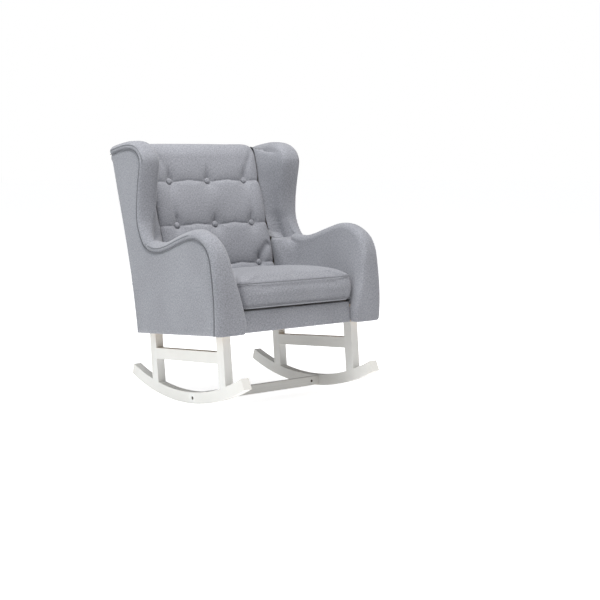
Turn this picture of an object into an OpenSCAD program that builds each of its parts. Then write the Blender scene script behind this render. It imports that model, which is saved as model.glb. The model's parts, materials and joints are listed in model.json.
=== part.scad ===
// Winged nursery rocking chair: a white painted base on two curved rockers under an
// upholstered body with a buttoned back and a loose seat cushion.
// The body is drawn upright in its own frame: x across, y towards the back, z up, with
// z = 0 at its underside. seated() then leans it back to its rest attitude on the floor.
// Left and right are those of a person sitting in the chair.

/* [Whole chair] */
// Overall width over the two outer side panels
body_w = 740; // [620:1:890]
// Angle at which the chair rests, leaned back on its rockers
lean = 5.55; // [4:0.05:7]

/* [Rockers] */
// Radius of the running edge
rocker_r = 1011.5; // [920:0.5:1220]
// Height of the rocker board
rocker_h = 41.8; // [36:0.1:50]
// Thickness of the boards of the base
board_t = 32.3; // [27:0.1:38]
// Height of the underside of the body above the lowest running edge
body_rise = 260; // [225:0.5:315]
// Place of the rocker's lowest point behind the seat's middle, with the body upright
rocker_y = 30.2; // [20:0.1:40]
// Angle from the lowest point to the front tip
front_tip = 21.9; // [20:0.1:24]
// Angle from the lowest point to the rear tip
rear_tip = 24.3; // [22:0.1:26]
// Inset of the base under the body on each side
base_inset = 64.3; // [56:0.1:68]

/* [Legs and rails] */
// Depth of a leg, front to back
leg_d = 43.6; // [36:0.1:50]
// Middle of the front legs
front_leg_y = -209; // [-225:1:-185]
// Middle of the rear legs
rear_leg_y = 264.2; // [250:0.1:265]
// Height of the side rails between the legs
rail_h = 41.7; // [34:0.1:50]
// Drop from the body's underside to the top of a side rail
rail_drop = 62.7; // [52:0.1:80]
// Height of the flat stretcher between the rockers
stretcher_h = 34; // [28:0.5:36]
// Thickness of that stretcher
stretcher_t = 20; // [16:0.5:26]
// Place of the stretcher ahead of the lowest point
stretcher_y = 31.5; // [20:0.5:40]

/* [Timber frame of the body] */
// Thickness of the seat's front and rear rails
seat_rail_t = 22; // [18:0.5:26]
// Height of the seat's front and rear rails
seat_rail_h = 66; // [60:0.5:70]
// Height of the seat's side rails
side_rail_h = 84; // [76:0.5:88]
// Thickness of the plywood side boards
ply_t = 18; // [12:0.5:18]
// Thickness of the back and arm posts
post_t = 27.5; // [22:0.5:28]
// Depth of the back posts
post_d = 37; // [30:0.5:37]
// Thickness of the hardboard behind the back frame
back_board_t = 4.5; // [2.5:0.1:5]
// Height at which the timber frame ends
frame_top = 690; // [640:1:700]

/* [Upholstery] */
// Thickness of each arm at the seat
arm_t = 128.5; // [120:0.5:150]
// Thickness of each wing at the buttoned back
wing_t = 120; // [119:0.5:135]
// Thickness of the padded outer side panels
panel_t = 15.5; // [12:0.5:16]
// Height at which the arm padding meets the wing padding
arm_seam_z = 336; // [330:1:342]
// Recline of the back's face from the body's upright
recline = 12.7; // [10:0.1:15]
// Thickness of the outside back panel
outside_back_t = 12; // [8:0.5:14]
// Depth at which the buttons sit below the back's crest
button_sink = 21; // [14:0.5:24]
// Radius of a covered button
button_r = 12.5; // [9:0.5:15]
// Sideways spacing of the buttons
button_dx = 175; // [140:1:195]

/* [Seat cushion] */
// Front face of the cushion
cushion_front = -285; // [-300:1:-276]
// Height of the cushion's front face
cushion_h = 92; // [76:1:110]
// Rise of the crown above the front seam
cushion_crown = 53; // [30:1:60]
// Radius of its front corners
cushion_corner = 32; // [16:1:60]
// Thickness of the cover
cover_t = 2; // [1.5:0.1:3]

/* [Springs] */
// Number of seat springs
spring_count = 5; // [4:1:6]
// Radius of the spring wire
wire_r = 2; // [1.6:0.1:2.2]
// Loops along one spring
spring_loops = 7; // [6:1:9]

/* [Fits] */
// Clearance between neighbouring pieces that do not touch
gap = 0.3; // [0.2:0.05:0.5]
// Clearance round a tenon in its mortise
tenon_gap = 0.15; // [0.1:0.05:0.3]
// Room on each side between the loose cushion and the arm
cushion_gap = 7; // [6:0.5:20]
// Room between the cushion's rear face and the buttoned back
cushion_clear = 3.5; // [3:0.5:20]
// Clearance of a bolt in its hole
bolt_gap = 0.25; // [0.2:0.05:0.4]

/* [Hidden] */
$fn = 64;

half_w = body_w / 2;
seat_w = body_w - 2 * arm_t;                // distance between the arms at the seat
back_w = body_w - 2 * wing_t;               // width of the buttoned back
arm_flare = 9.5;                            // how far the arm has moved out at the cushion's foot
cushion_w = seat_w + 2 * (arm_flare - cushion_gap);
base_x = half_w - base_inset;               // outer face of the base boards
rocker_z = rocker_r - body_rise;            // height of the rockers' centre
lift = rocker_r + rocker_y * sin(lean) - rocker_z * cos(lean);
deep = 400;                                 // reach of a cutting block past the body

// ---- outlines in the side plane, as [y, z] ----
back_line = [[274, 0], [278, 60], [292, 197], [309, 300], [330, 407], [358, 532], [385, 659],
             [396, 710]];
// The seam round the outer panel, from the rear top forwards and down, with the rise of
// the padded band beyond it at each point
seam_top = [[391, 690, 36], [330, 696, 34], [267, 698, 32], [220, 692, 29], [188, 676, 25],
            [170, 650, 18], [171, 622, 14], [188, 568, 14], [206, 500, 15], [215, 430, 19],
            [206, 384, 23], [188, 345, 30], [160, 316, 34], [120, 304, 36], [62, 301, 36],
            [0, 310, 36], [-65, 325, 36], [-137, 338, 35], [-185, 338, 34], [-225, 324, 32],
            [-256, 300, 31], [-274, 266, 30], [-281, 220, 30], [-285, 150, 29],
            [-285, 90, 27], [-281, 40, 24], [-276, 0, 22]];

function spline(a, b, c, d, t) =
    0.5 * (2 * b + (c - a) * t + (2 * a - 5 * b + 4 * c - d) * t * t
           + (3 * b - a - 3 * c + d) * t * t * t);
function smooth(p, steps) =
    [for (i = [0 : len(p) - 2], j = [0 : steps - 1])
        spline(p[max(i - 1, 0)], p[i], p[i + 1], p[min(i + 2, len(p) - 1)], j / steps),
     p[len(p) - 1]];
function unit(v) = v / norm(v);
function left_of(v) = [-v[1], v[0]];
// A closed outline drawn anticlockwise, moved inwards by g
function inset(p, g) =
    [for (i = [0 : len(p) - 1])
        let (n = len(p), a = unit(p[i] - p[(i + n - 1) % n]), b = unit(p[(i + 1) % n] - p[i]))
        p[i] + g * (left_of(a) + left_of(b)) / (1 + a * b)];
function flat(p) = [for (q = p) [q[0], q[1]]];
function reversed(p) = [for (i = [len(p) - 1 : -1 : 0]) p[i]];
// The band's outer edge: each point of the seam moved out along its own normal
function risen(p) =
    [for (i = [0 : len(p) - 1])
        let (d = flat([p[min(i + 1, len(p) - 1)] - p[max(i - 1, 0)]])[0])
        [p[i][0], p[i][1]] + p[i][2] * unit([d[1], -d[0]])];
// Place of the outside back line at height z
function back_y(z) = lookup(z, [for (q = back_line) [q[1], q[0]]]);

seam_line = smooth(seam_top, 3);
// The outlines run anticlockwise as seen with y to the right and z up
rear_edge = [for (q = back_line) if (q[1] < 670) q];
panel_outline = concat(rear_edge, flat(seam_line));
crown_outline = concat(rear_edge, [[399, 706], [405, 722]], risen(seam_line));
// The side board stands inside the panel, down to just above the underside
board_inset = 14;
board_outline = inset(concat([[rear_edge[0][0], 2 - board_inset]], rear_edge, flat(seam_top),
                             [[seam_top[len(seam_top) - 1][0], 2 - board_inset]]), board_inset);

// ---- levels and layers ----
side_rail_x = base_x - board_t;             // inner face of the seat's side rails
panel_x = half_w - panel_t;                 // inner face of the outer panels
ply_x = panel_x - 2 * gap - ply_t;          // inner face of the plywood side boards
post_x = ply_x - 0.4 - post_t;              // inner face of the posts
side_rail_t = post_x - 0.8 - side_rail_x;
front_rail_y = -268;                        // front face of the seat's front rail
rear_rail_y = 243 - seat_rail_t;            // front face of the seat's rear rail
spring_z = seat_rail_h + 3.5;               // level of the spring wires
deck_z = spring_z + 5;                      // underside of the deck cloth
deck_cloth_t = 1.5;
felt_z = deck_z + deck_cloth_t + 0.2;
felt_t = 4.5;
cushion_z = felt_z + felt_t + gap;          // underside of the cushion
back_board_y = outside_back_t / 4 + 0.4;     // rear face of the back board, ahead of the back line
post_y = back_board_y + back_board_t + 0.2; // rear face of the posts, ahead of the back line
back_depth = post_y + post_d + 7;           // frame depth behind the back pad
arm_space_z = side_rail_h + 10;             // height of the room for the seat frame
pad_foot = 90;                              // lower edge of the back pad
crest_y = 195;                              // back's crest at the lowest row of buttons
button_rows = [577, 403, 241];
button_columns = [-button_dx, 0, button_dx];
function crest(z) = crest_y + (z - button_rows[2]) * tan(recline);
cheek_z = 190;                              // height at which the pad turns in to its foot
cushion_back = crest(cheek_z) - cushion_clear;

bolt_r = 4;
head_r = 6.5;
head_h = 5;
nut_r = 5;
zip_l = 380;
zip_h = 9;
zip_z = cushion_z + cushion_h / 2;
puller_l = 24;

front_reach = (rocker_y - rocker_r * sin(front_tip)) * cos(lean)
            + (rocker_z - rocker_r * cos(front_tip)) * sin(lean);
rear_reach = max([for (q = crown_outline) q[0] * cos(lean) + q[1] * sin(lean)]);
centre_y = -(front_reach + rear_reach) / 2;

// ---- placing ----
module seated() { translate([0, centre_y, lift]) rotate([-lean, 0, 0]) children(); }
module on_right() { mirror([1, 0, 0]) children(); }
// An outline in the side plane, made solid from x0 to x1
module slab(outline, x0, x1) {
    translate([x0, 0, 0]) rotate([90, 0, 90]) linear_extrude(x1 - x0) polygon(outline);
}
// An outline in the front plane, made solid from y0 to y1
module front_slab(outline, y0, y1) {
    translate([0, y1, 0]) rotate([90, 0, 0]) linear_extrude(y1 - y0) polygon(outline);
}
// A strip that follows the outside back line, from distance a to b ahead of it
module back_strip(a, b, x0, x1, z0, z1) {
    zs = concat([z0], [for (q = back_line) if (q[1] > z0 && q[1] < z1) q[1]], [z1]);
    slab(concat([for (z = zs) [back_y(z) - a, z]], reversed([for (z = zs) [back_y(z) - b, z]])),
         x0, x1);
}
module block(x0, x1, y0, y1, z0, z1) { translate([x0, y0, z0]) cube([x1 - x0, y1 - y0, z1 - z0]); }
module disc_x(x0, x1, y, z, r) { translate([x0, y, z]) rotate([0, 90, 0]) cylinder(r = r, h = x1 - x0); }

// ---- base ----
tenon_l = 18;
tenon_t = 12;
function leg_y(front) = front ? front_leg_y : rear_leg_y;
stretcher_mid_y = rocker_y - stretcher_y;
stretcher_mid_z = rocker_z - rocker_r + rocker_h / 2 + 0.5;

module leg_tenon(front, g) {
    y = leg_y(front);
    z = rocker_z - rocker_r + rocker_h;
    block(base_x - board_t / 2 - tenon_t / 2 - g, base_x - board_t / 2 + tenon_t / 2 + g,
          y - leg_d / 2 + 7 - g, y + leg_d / 2 - 7 + g,
          sole_z(y) + 14 - g, z + 60);
}
// Height of the running edge under place y
function sole_z(y) = rocker_z - sqrt(rocker_r * rocker_r - (y - rocker_y) * (y - rocker_y));

module rocker() {
    reach = rocker_r * 1.2;
    difference() {
        intersection() {
            disc_x(base_x - board_t, base_x, rocker_y, rocker_z, rocker_r, $fn = 256);
            slab([[rocker_y, rocker_z],
                  [rocker_y - reach * sin(front_tip), rocker_z - reach * cos(front_tip)],
                  [rocker_y + reach * sin(rear_tip), rocker_z - reach * cos(rear_tip)]],
                 base_x - board_t, base_x);
        }
        disc_x(base_x - board_t - 1, base_x + 1, rocker_y, rocker_z, rocker_r - rocker_h, $fn = 256);
        leg_tenon(true, tenon_gap);
        leg_tenon(false, tenon_gap);
        disc_x(base_x - board_t - 1, base_x + 1, stretcher_mid_y, stretcher_mid_z, bolt_r + bolt_gap);
        disc_x(base_x - head_h - 2, base_x + 1, stretcher_mid_y, stretcher_mid_z, head_r + 0.5);
    }
}
module leg(front) {
    y = leg_y(front);
    difference() {
        union() {
            intersection() {
                block(base_x - board_t, base_x, y - leg_d / 2, y + leg_d / 2, -deep, 0);
                disc_x(base_x - board_t, base_x, rocker_y, rocker_z, rocker_r - rocker_h, $fn = 256);
            }
            intersection() {
                leg_tenon(front, 0);
                block(0, deep, -deep, deep, -deep, -rail_drop - rail_h);
            }
        }
        rail_tenons(tenon_gap);
        translate([base_x - board_t / 2, bolt_y(front), -70]) cylinder(r = bolt_r + bolt_gap, h = 80);
    }
}
module rail_tenons(g) {
    block(base_x - board_t / 2 - tenon_t / 2 - g, base_x - board_t / 2 + tenon_t / 2 + g,
          front_leg_y + leg_d / 2 - tenon_l - g, rear_leg_y - leg_d / 2 + tenon_l + g,
          -rail_drop - rail_h + 7 - g, -rail_drop - 7 + g);
}
module side_rail() {
    union() {
        block(base_x - board_t, base_x, front_leg_y + leg_d / 2, rear_leg_y - leg_d / 2,
              -rail_drop - rail_h, -rail_drop);
        rail_tenons(0);
    }
}
function bolt_y(front) = front ? front_leg_y : rear_leg_y - 7;
module left_rocker() { color("whitesmoke") seated() rocker(); }
module right_rocker() { color("whitesmoke") seated() on_right() rocker(); }
module left_front_leg() { color("whitesmoke") seated() leg(true); }
module right_front_leg() { color("whitesmoke") seated() on_right() leg(true); }
module left_rear_leg() { color("whitesmoke") seated() leg(false); }
module right_rear_leg() { color("whitesmoke") seated() on_right() leg(false); }
module left_side_rail() { color("whitesmoke") seated() side_rail(); }
module right_side_rail() { color("whitesmoke") seated() on_right() side_rail(); }

module cross_stretcher() {
    x = base_x - board_t;
    color("whitesmoke") seated() difference() {
        block(-x, x, stretcher_mid_y - stretcher_t / 2, stretcher_mid_y + stretcher_t / 2,
              stretcher_mid_z - stretcher_h / 2, stretcher_mid_z + stretcher_h / 2);
        for (side = [-1, 1]) {
            disc_x(min(side * (x - 45), side * (x + 1)), max(side * (x - 45), side * (x + 1)),
                   stretcher_mid_y, stretcher_mid_z, bolt_r + bolt_gap);
            translate([side * (x - 35), stretcher_mid_y - stretcher_t, stretcher_mid_z])
                rotate([-90, 0, 0]) cylinder(r = nut_r + bolt_gap, h = 2 * stretcher_t);
        }
    }
}
module stretcher_bolt() {
    head_x = base_x - head_h - 2;
    difference() {
        union() {
            disc_x(head_x - board_t - 38 + head_h, head_x, stretcher_mid_y, stretcher_mid_z, bolt_r);
            disc_x(head_x, head_x + head_h, stretcher_mid_y, stretcher_mid_z, head_r);
        }
        disc_x(head_x + 1.5, head_x + head_h + 1, stretcher_mid_y, stretcher_mid_z, 2.9, $fn = 6);
    }
}
module stretcher_bolts() { color("dimgray") seated() { stretcher_bolt(); on_right() stretcher_bolt(); } }
module barrel_nut() {
    x = base_x - board_t - 35;
    difference() {
        translate([x, stretcher_mid_y - stretcher_t / 2 + 1, stretcher_mid_z])
            rotate([-90, 0, 0]) cylinder(r = nut_r, h = stretcher_t - 2);
        disc_x(x - nut_r - 1, x + nut_r + 1, stretcher_mid_y, stretcher_mid_z, bolt_r + 0.05);
    }
}
module barrel_nuts() { color("silver") seated() { barrel_nut(); on_right() barrel_nut(); } }

leg_washer_t = 1.5;
module each_leg_bolt() {
    for (side = [-1, 1], front = [true, false])
        translate([side * (base_x - board_t / 2), bolt_y(front), side_rail_h]) children();
}
module leg_bolts() {
    color("silver") seated() each_leg_bolt() difference() {
        union() {
            translate([0, 0, -side_rail_h - 66]) cylinder(r = bolt_r, h = side_rail_h + 66 + leg_washer_t);
            translate([0, 0, leg_washer_t]) cylinder(r = head_r, h = head_h);
        }
        translate([0, 0, leg_washer_t + 2]) cylinder(r = 2.9, h = head_h, $fn = 6);
    }
}
module leg_washers() {
    color("gray") seated() each_leg_bolt() difference() {
        cylinder(r = 10, h = leg_washer_t);
        translate([0, 0, -1]) cylinder(r = bolt_r + bolt_gap, h = leg_washer_t + 2);
    }
}

// ---- timber frame of the body ----
module front_seat_rail() {
    color("burlywood") seated()
        block(-ply_x, ply_x, front_rail_y, front_rail_y + seat_rail_t, 2, seat_rail_h);
}
module rear_seat_rail() {
    color("burlywood") seated()
        block(-side_rail_x, side_rail_x, rear_rail_y, rear_rail_y + seat_rail_t, 2, seat_rail_h);
}
module seat_rail() {
    difference() {
        block(side_rail_x, side_rail_x + side_rail_t, front_rail_y + seat_rail_t, back_y(0) - post_y,
              0, side_rail_h);
        for (front = [true, false])
            translate([base_x - board_t / 2, bolt_y(front), -1])
                cylinder(r = bolt_r + bolt_gap, h = side_rail_h + 2);
    }
}
module left_seat_rail() { color("burlywood") seated() seat_rail(); }
module right_seat_rail() { color("burlywood") seated() on_right() seat_rail(); }
module corner_block(y, turn) {
    translate([side_rail_x, y, 10])
        linear_extrude(40) polygon([[0, 0], [-46, 0], [-46, turn * 6], [-6, turn * 46], [0, turn * 46]]);
}
module corner_blocks() {
    color("tan") seated() for (right = [0, 1]) mirror([right, 0, 0]) {
        corner_block(front_rail_y + seat_rail_t, 1);
        corner_block(rear_rail_y, -1);
    }
}
module back_post() { back_strip(post_y, post_y + post_d, post_x, post_x + post_t, 2, frame_top - 12); }
module left_back_post() { color("burlywood") seated() back_post(); }
module right_back_post() { color("burlywood") seated() on_right() back_post(); }
module back_top_rail() {
    color("burlywood") seated()
        back_strip(post_y, post_y + post_d, -post_x, post_x, frame_top - 47, frame_top - 2);
}
module back_lower_rail() {
    color("burlywood") seated()
        back_strip(post_y, post_y + post_d, -post_x, post_x, arm_space_z + 4, arm_space_z + 44);
}
arm_rail_z = 262;
arm_rail_h = 22;
arm_post_y = front_rail_y + seat_rail_t;
arm_post_d = 35;
module arm_post() {
    block(post_x, post_x + post_t, arm_post_y, arm_post_y + arm_post_d, 2, arm_rail_z + arm_rail_h);
}
module left_arm_post() { color("burlywood") seated() arm_post(); }
module right_arm_post() { color("burlywood") seated() on_right() arm_post(); }
module arm_rail() {
    difference() {
        block(post_x, post_x + post_t, arm_post_y + arm_post_d, back_y(arm_rail_z), arm_rail_z,
              arm_rail_z + arm_rail_h);
        back_strip(-20, post_y + post_d, 0, half_w, arm_rail_z - 20, arm_rail_z + arm_rail_h + 20);
    }
}
module left_arm_rail() { color("burlywood") seated() arm_rail(); }
module right_arm_rail() { color("burlywood") seated() on_right() arm_rail(); }
module side_board() { slab(board_outline, ply_x, ply_x + ply_t); }
module left_side_board() { color("burlywood") seated() side_board(); }
module right_side_board() { color("burlywood") seated() on_right() side_board(); }

// ---- springs and linings ----
// A round wire along the points of a path, closed at both ends
module wire(path, r, sides) {
    n = len(path);
    rings = [for (i = [0 : n - 1])
        let (d = unit(path[min(i + 1, n - 1)] - path[max(i - 1, 0)]), u = unit(cross([0, 0, 1], d)), v = cross(d, u))
        for (k = [0 : sides - 1]) path[i] + r * (cos(360 * k / sides) * u + sin(360 * k / sides) * v)];
    skin = [for (i = [0 : n - 2], k = [0 : sides - 1])
        [i * sides + k, (i + 1) * sides + k, (i + 1) * sides + (k + 1) % sides, i * sides + (k + 1) % sides]];
    ends = [[for (k = [0 : sides - 1]) k], [for (k = [sides - 1 : -1 : 0]) (n - 1) * sides + k]];
    polyhedron(rings, concat(skin, ends), convexity = 8);
}
spring_y0 = front_rail_y + seat_rail_t / 2;
spring_y1 = rear_rail_y + seat_rail_t / 2;
spring_span = spring_y1 - spring_y0;
spring_swing = 24;
function spring_place(i) = (i - (spring_count - 1) / 2) * seat_w * 0.37 * 2 / spring_count;
function spring_path(x) =
    [for (t = [0 : 1 / (8 * spring_loops) : 1.0001])
        [x + spring_swing * sin(360 * spring_loops * t),
         spring_y0 + spring_span * t - 9 * sin(720 * spring_loops * t) * sin(180 * t), spring_z]];
module seat_springs() {
    color("gray") seated() for (i = [0 : spring_count - 1]) wire(spring_path(spring_place(i)), wire_r, 6);
}
module spring_clip(x, y, way) {
    translate([x, y, seat_rail_h]) mirror([0, way, 0]) difference() {
        block(-8, 8, -9, 6, 0, 8.2);
        block(-9, 9, -5.5, 7, 1.2, 7);
    }
}
module spring_clips() {
    color("silver") seated() for (i = [0 : spring_count - 1]) {
        spring_clip(spring_place(i), spring_y0, 0);
        spring_clip(spring_place(i), spring_y1, 1);
    }
}
deck_half = side_rail_x - 3;
module seat_deck() {
    color("ivory") seated() block(-deck_half, deck_half, front_rail_y + 8, rear_rail_y, deck_z, deck_z + deck_cloth_t);
}
module deck_felt() {
    color("lightgray") seated()
        block(-seat_w / 2 + 2, seat_w / 2 - 2, front_rail_y + 10, rear_rail_y - 40, felt_z, felt_z + felt_t);
}
module dust_cover() {
    x = side_rail_x - 2;
    color("black") seated() block(-x, x, front_rail_y + 6, rear_rail_y + 16, 0.5, 1.9);
}
strap_z = [165, 322, 490, 630];
module back_webbing() {
    x = post_x + 18;
    color("black") seated()
        for (z = strap_z) back_strip(post_y + post_d + 0.2, post_y + post_d + 2, -x, x, z - 25, z + 25);
}
module back_lining() {
    color("ivory") seated() difference() {
        back_strip(back_depth - 2.2, back_depth - 0.6, -back_w / 2, back_w / 2, pad_foot + 8,
                   frame_top - 4);
        each_button() translate([0, 0, -60]) cylinder(r = 2, h = 120);
    }
}

// ---- covers and padding ----
module outer_panel() { slab(panel_outline, panel_x, half_w); }
module left_outer_panel() { color("slategray") seated() outer_panel(); }
module right_outer_panel() { color("slategray") seated() on_right() outer_panel(); }

// The padded side as one piece: arm below the seam, wing above it
lip_x = half_w - 4;
module side_form() {
    difference() {
        slab(crown_outline, seat_w / 2 - 20, half_w + 20);
        slab(inset(board_outline, -gap), post_x - gap, panel_x + 2);
        slab(inset(panel_outline, -gap), panel_x - gap, half_w + 30);
        back_strip(-60, back_depth, 100, ply_x, -20, frame_top + gap);
        back_strip(-50, post_y + gap, 110, panel_x + gap / 2, -30, frame_top + gap);
        block(120, post_x + 4, front_rail_y - gap, deep, -40, arm_space_z);
        block(130, ply_x + gap, front_rail_y - gap / 2, 0, -45, seat_rail_h + gap);
    }
}
arm_section = [[seat_w / 2, 0], [seat_w / 2, 50], [seat_w / 2 + arm_flare, 82],
               [seat_w / 2 + 34.5, 182], [half_w - 78, 250], [half_w - 72, 300],
               [half_w - 66, 345], [half_w - 54, 364], [half_w - 36, 376], [half_w - 18, 368],
               [lip_x, 346], [lip_x, 0]];
// Plan of the padding that closes the corner between the arm and the back
arm_corner_plan = [[back_w / 2 + gap, 2 * deep], [back_w / 2 + gap, 245], [half_w - 102, 228],
                   [half_w - 80, 190], [half_w - 50, 165], [half_w - 50, 2 * deep]];
module arm_pad() {
    difference() {
        intersection() {
            side_form();
            union() {
                front_slab(arm_section, -deep, deep);
                linear_extrude(deep) polygon(arm_corner_plan);
            }
        }
        block(0, half_w + 50, 140, 2 * deep, arm_seam_z - gap, deep);
        block(0, back_w / 2 + gap, 150, 2 * deep, -50, 2 * deep);
    }
}
wing_plan = [[back_w / 2 + gap, 2 * deep], [lip_x, 2 * deep], [lip_x, 140], [half_w - 74, 140],
             [half_w - 78, 160], [half_w - 87, 205], [back_w / 2 + gap, 310]];
module wing_pad() {
    intersection() {
        side_form();
        translate([0, 0, arm_seam_z]) linear_extrude(2 * deep) polygon(wing_plan);
    }
}
module left_arm_pad() { color("slategray") seated() arm_pad(); }
module right_arm_pad() { color("slategray") seated() on_right() arm_pad(); }
module left_wing_pad() { color("slategray") seated() wing_pad(); }
module right_wing_pad() { color("slategray") seated() on_right() wing_pad(); }

module front_rail_cover() {
    y = front_rail_y;
    color("gray") seated()
        slab([[y - 5.5, 0], [y - gap, 0], [y - gap, seat_rail_h + gap], [y + 1.5, seat_rail_h + gap],
              [y + 1.5, deck_z + 3], [y - 1, deck_z + 4], [y - 5.5, deck_z]],
             -seat_w / 2 + gap, seat_w / 2 - gap);
}
module back_board() {
    x = panel_x - 1;
    color("peru") seated() back_strip(back_board_y, back_board_y + back_board_t, -x, x, 3, frame_top - 1);
}
module outside_back() {
    color("slategray") seated()
        back_strip(-outside_back_t * 3 / 4, outside_back_t / 4, -panel_x + gap, panel_x - gap, 2, frame_top);
}

// ---- buttoned back ----
module at_row(z) {
    for (x = button_columns)
        translate([x, crest(z) + button_sink, z]) rotate([90 - recline, 0, 0]) children();
}
module each_button() { for (z = button_rows) at_row(z) children(); }
button_t = 7;
module back_pad() {
    front_foot = crest(cheek_z);
    top = frame_top + gap;
    levels = concat([pad_foot], [for (q = back_line) if (q[1] > pad_foot && q[1] < frame_top) q[1]], [top]);
    color("gray") seated() difference() {
        slab(concat([[front_foot, pad_foot]],
                    [for (z = levels) [back_y(z) - back_depth, z]],
                    [[back_y(top) + outside_back_t / 2, top], [back_y(top) + outside_back_t / 2, top + 16],
                     [back_y(top) - 12, top + 36], [back_y(top) - 45, top + 40], [crest(top) + 22, top + 39],
                     [crest(top) + 6, top + 26], [crest(top), top], [front_foot, cheek_z]]),
             -back_w / 2, back_w / 2);
        each_button() {
            translate([0, 0, -button_t - gap]) cylinder(r = button_r + 6, h = 80);
            translate([0, 0, -60]) cylinder(r = 1.6, h = 70);
        }
    }
}
module back_buttons() {
    color("gray") seated() each_button() rotate_extrude()
        polygon([[0, -button_t], [button_r - 1, -button_t], [button_r, -button_t + 2.5],
                 [button_r - 2, -2], [button_r / 2, -0.4], [0, 0]]);
}
// Distance behind a button's face, along its own axis, at which its tie ends
function tie_end(z) = (back_y(z) - back_depth + 6 - crest(z) - button_sink) / cos(recline);
module tufting_ties() {
    color("white") seated() for (z = button_rows) at_row(z)
        translate([0, 0, -tie_end(z) - 2]) cylinder(r = 1.1, h = tie_end(z) + 2 - button_t);
}
module tie_washers() {
    color("silver") seated() for (z = button_rows) at_row(z)
        translate([0, 0, -tie_end(z) - 1.5]) difference() {
            cylinder(r = 9, h = 1.5);
            translate([0, 0, -1]) cylinder(r = 1.3, h = 4);
        }
}

// ---- loose seat cushion ----
cushion_seam_z = cushion_z + cushion_h;
cushion_top_z = cushion_seam_z + cushion_crown;
// Height of the crown at a share of its full rise
function crown_z(share) = cushion_seam_z + cushion_crown * share;
cushion_side =
    concat([[cushion_front + 4, cushion_z], [cushion_back - 4, cushion_z], [cushion_back, cushion_z + 5]],
           smooth([[cushion_back, cushion_seam_z], [cushion_back - 6, crown_z(0.44)],
                   [cushion_back - 32, crown_z(0.82)], [cushion_back - 110, crown_z(0.98)],
                   [cushion_back - 220, cushion_top_z], [cushion_front + 150, crown_z(0.92)],
                   [cushion_front + 60, crown_z(0.7)], [cushion_front + 16, crown_z(0.42)],
                   [cushion_front, cushion_seam_z]], 3),
           [[cushion_front, cushion_z + 5]]);
cushion_x = cushion_w / 2;
cushion_front_view =
    concat([[4 - cushion_x, cushion_z], [cushion_x - 4, cushion_z], [cushion_x, cushion_z + 5]],
           smooth([[cushion_x, cushion_seam_z], [cushion_x - 8, crown_z(0.42)],
                   [cushion_x - 50, crown_z(0.78)], [cushion_x / 2, crown_z(0.96)], [0, cushion_top_z],
                   [-cushion_x / 2, crown_z(0.96)], [50 - cushion_x, crown_z(0.78)],
                   [8 - cushion_x, crown_z(0.42)], [-cushion_x, cushion_seam_z]], 3),
           [[-cushion_x, cushion_z + 5]]);
// Points round a corner of the cushion's plan, from angle a to a + 90
function corner(x, y, r, a) = [for (k = [0 : 15 : 90]) [x + r * cos(a + k), y + r * sin(a + k)]];
cushion_rear_corner = 12;
cushion_plan =
    let (f = cushion_x - cushion_corner, fy = cushion_front + cushion_corner,
         b = cushion_x - cushion_rear_corner, by = cushion_back - cushion_rear_corner)
    concat(corner(-f, fy, cushion_corner, 180), corner(f, fy, cushion_corner, 270),
           corner(b, by, cushion_rear_corner, 0), corner(-b, by, cushion_rear_corner, 90));
module cushion_form(g) {
    intersection() {
        slab(inset(cushion_side, g), -cushion_w, cushion_w);
        front_slab(inset(cushion_front_view, g), -deep, deep);
        linear_extrude(deep) polygon(inset(cushion_plan, g));
    }
}
module zip_room(g, y0, y1) { block(-zip_l / 2 - g, zip_l / 2 + g, y0, y1, zip_z - zip_h / 2 - g, zip_z + zip_h / 2 + g); }
module cushion_cover() {
    color("gray") seated() difference() {
        cushion_form(0);
        cushion_form(cover_t);
        zip_room(gap, cushion_back - cover_t - 2, cushion_back + 5);
    }
}
module cushion_foam() { color("khaki") seated() cushion_form(cover_t + gap); }
zip_y0 = cushion_back - cover_t - gap + 0.1;
zip_y1 = cushion_back - 1;
module cushion_zip() {
    color("gray") seated() difference() {
        zip_room(0, zip_y0, zip_y1);
        block(-zip_l / 2 + 6, zip_l / 2 - 6, zip_y1 - 0.5, zip_y1 + 1, zip_z - 1.5, zip_z + 1.5);
    }
}
module zip_slider() {
    y = zip_y1 + gap;
    color("silver") seated() translate([zip_l / 2 - 16, 0, zip_z]) union() {
        block(-5, 5, y, y + 1.2, -3.5, 3.5);
        block(-puller_l, -2, y + 1.2, y + 2, -2.2, 2.2);
    }
}

left_rocker();
right_rocker();
left_front_leg();
right_front_leg();
left_rear_leg();
right_rear_leg();
left_side_rail();
right_side_rail();
cross_stretcher();
stretcher_bolts();
barrel_nuts();
leg_bolts();
leg_washers();
front_seat_rail();
rear_seat_rail();
left_seat_rail();
right_seat_rail();
corner_blocks();
left_back_post();
right_back_post();
back_top_rail();
back_lower_rail();
left_arm_post();
right_arm_post();
left_arm_rail();
right_arm_rail();
left_side_board();
right_side_board();
seat_springs();
spring_clips();
seat_deck();
deck_felt();
dust_cover();
back_webbing();
back_lining();
left_outer_panel();
right_outer_panel();
left_arm_pad();
right_arm_pad();
left_wing_pad();
right_wing_pad();
front_rail_cover();
outside_back();
back_board();
back_pad();
back_buttons();
tufting_ties();
tie_washers();
cushion_cover();
cushion_foam();
cushion_zip();
zip_slider();
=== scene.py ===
import json
import math

import bmesh
import bpy
import numpy as np
from mathutils import Matrix, Vector, noise
from mathutils.geometry import delaunay_2d_cdt
from mathutils.kdtree import KDTree

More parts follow.
